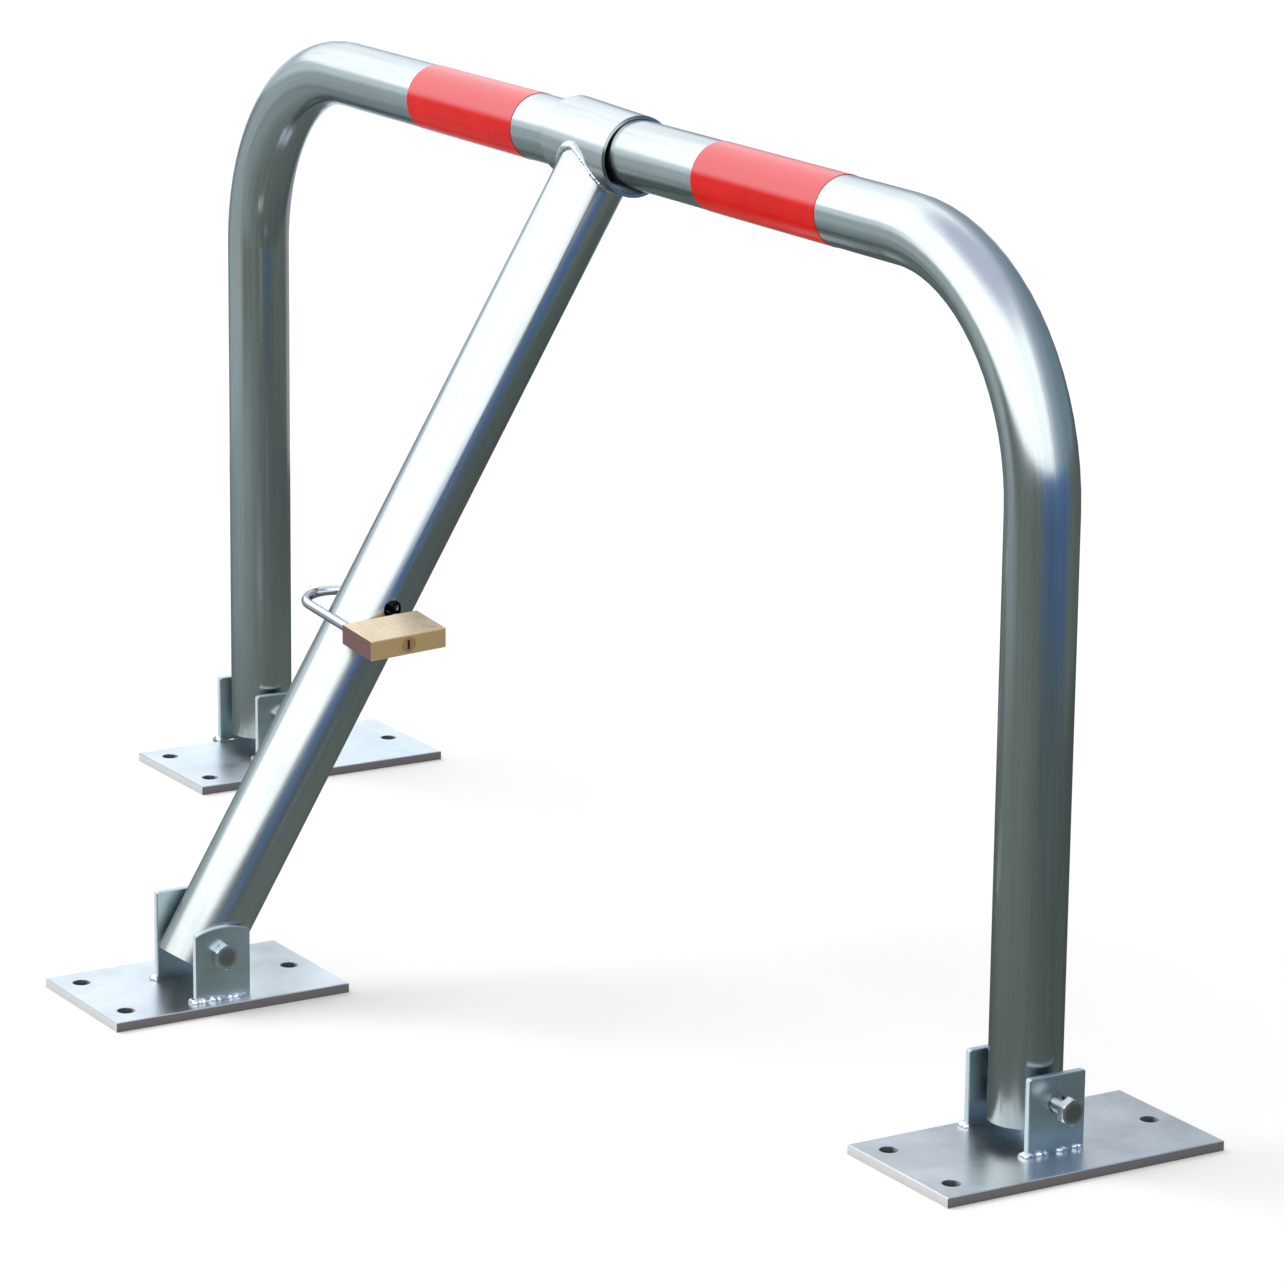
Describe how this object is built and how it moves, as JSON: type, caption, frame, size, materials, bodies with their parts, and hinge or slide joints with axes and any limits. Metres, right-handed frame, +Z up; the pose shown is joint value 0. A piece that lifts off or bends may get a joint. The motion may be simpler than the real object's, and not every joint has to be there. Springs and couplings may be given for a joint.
{
  "type": "parking barrier",
  "caption": "Fold-down parking barrier: bent tube hoop hinged on base plates, propped by a telescopic strut that a padlock holds at length.",
  "frame": {"origin": "on the ground under the centre of the whole barrier", "axes": "+X along the crossbar towards the near leg in the picture, +Y towards the side the hoop folds to, +Z up"},
  "size_m": [1.2216, 0.5444, 0.6228],
  "materials": {
    "zinc_tube": "bright zinc plated, glossy drawn tube",
    "zinc_plate": "bright zinc plated, satin",
    "weld": "zinc plated weld bead",
    "zinc_bolt": "bright zinc plated",
    "red_film": "glossy self-adhesive reflective film",
    "brass": "fine brushed",
    "spring_steel": "bare spring wire",
    "chromed_steel": "polished"
  },
  "bodies": {
    "base": {"near_plate": "zinc_plate", "near_ear_outer": "zinc_plate", "near_ear_inner": "zinc_plate", "near_ear_welds": "weld", "near_bolt": "zinc_bolt", "near_nut": "zinc_bolt", "far_plate": "zinc_plate", "far_ear_outer": "zinc_plate", "far_ear_inner": "zinc_plate", "far_ear_welds": "weld", "far_bolt": "zinc_bolt", "far_nut": "zinc_bolt"},
    "hoop": {"hoop": "zinc_tube", "far_band": "red_film", "near_band": "red_film"},
    "strut": {"collar": "zinc_tube", "collar_weld": "weld", "strut_outer_tube": "zinc_tube"},
    "inner": {"strut_inner_tube": "zinc_tube"},
    "foot": {"middle_plate": "zinc_plate", "middle_ear_outer": "zinc_plate", "middle_ear_inner": "zinc_plate", "middle_ear_welds": "weld", "middle_bolt": "zinc_bolt", "middle_nut": "zinc_bolt"},
    "padlock": {"padlock_body": "brass", "padlock_shackle": "chromed_steel", "padlock_latch": "chromed_steel", "padlock_plug": "brass", "padlock_pins": "brass", "padlock_latch_spring": "spring_steel", "padlock_shackle_spring": "spring_steel"}
  },
  "joints": [
    {"name": "hoop_fold", "type": "hinge", "parent": "base", "child": "hoop", "pos_m": [-0.01275, 0.14925, 0.04], "axis": [-1, 0, 0], "range_deg": [0, 90]},
    {"name": "strut_swing", "type": "hinge", "parent": "hoop", "child": "strut", "pos_m": [-0.01275, 0.14925, 0.592], "axis": [-1, 0, 0], "range_deg": [-31, 90]},
    {"name": "strut_slide", "type": "slide", "parent": "strut", "child": "inner", "axis": [0, -0.5159, -0.8567], "range_m": [0, 0.002]},
    {"name": "foot_swivel", "type": "hinge", "parent": "inner", "child": "foot", "pos_m": [-0.01275, -0.18275, 0.04], "axis": [1, 0, 0], "range_deg": [-118, 58]},
    {"name": "padlock_swing", "type": "hinge", "parent": "strut", "child": "padlock", "pos_m": [-0.01275, -0.0414, 0.27372], "axis": [-0.9969, 0, 0.0785], "range_deg": [-7.5, 75]}
  ]
}
